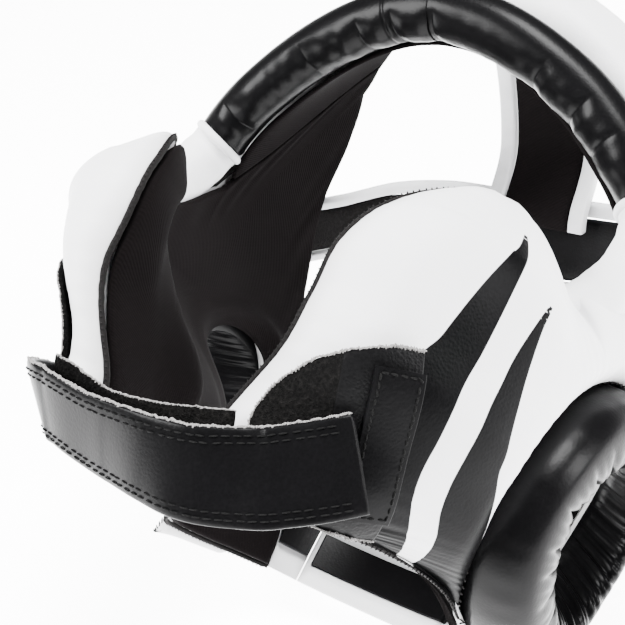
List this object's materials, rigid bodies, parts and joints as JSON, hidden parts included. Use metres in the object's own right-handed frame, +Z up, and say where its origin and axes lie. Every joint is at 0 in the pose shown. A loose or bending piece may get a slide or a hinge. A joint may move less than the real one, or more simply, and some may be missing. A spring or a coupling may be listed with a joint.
{
  "type": "boxing headgear",
  "caption": "Open-faced padded leather boxing headgear with cheek pads, rolled brow and ear openings, a chin strap and a crown strap, leaning back on its nape pad.",
  "frame": {"origin": "bottom centre of the bounding box, on the surface that the nape pad rests on", "axes": "+Z up, -Y towards the chin, +Y towards the crown, +X towards the wearer's left; the face opening looks up and forwards"},
  "size_m": [0.213, 0.2806, 0.2437],
  "materials": {
    "white_leather": "satin white leather with a fine grain and black tapered colour panels",
    "black_leather": "semi-gloss black leather with gathers",
    "knitted_lining": "matt dark twill lining",
    "loop_fabric": "fuzzy black loop fabric"
  },
  "bodies": {
    "root": {"brow_roll": "black_leather", "chin_strap_inner": "loop_fabric", "chin_strap_outer": "black_leather", "crown_binding_left": "white_leather", "crown_binding_right": "white_leather", "crown_strap": "black_leather", "ear_roll_left": "black_leather", "ear_roll_right": "black_leather", "forehead_lining": "knitted_lining", "forehead_pad": "white_leather", "nape_lining": "black_leather", "nape_pad": "white_leather", "nape_wing_left": "white_leather", "nape_wing_right": "white_leather", "rear_band": "black_leather", "rear_binding_lower": "white_leather", "rear_binding_upper": "white_leather", "side_lining_left": "knitted_lining", "side_lining_right": "knitted_lining", "side_pad_left": "white_leather", "side_pad_right": "white_leather", "strap_patch_left": "black_leather", "strap_patch_right": "black_leather", "strap_tab_left": "loop_fabric", "strap_tab_right": "loop_fabric", "wing_lining_left": "black_leather", "wing_lining_right": "black_leather"}
  },
  "joints": []
}
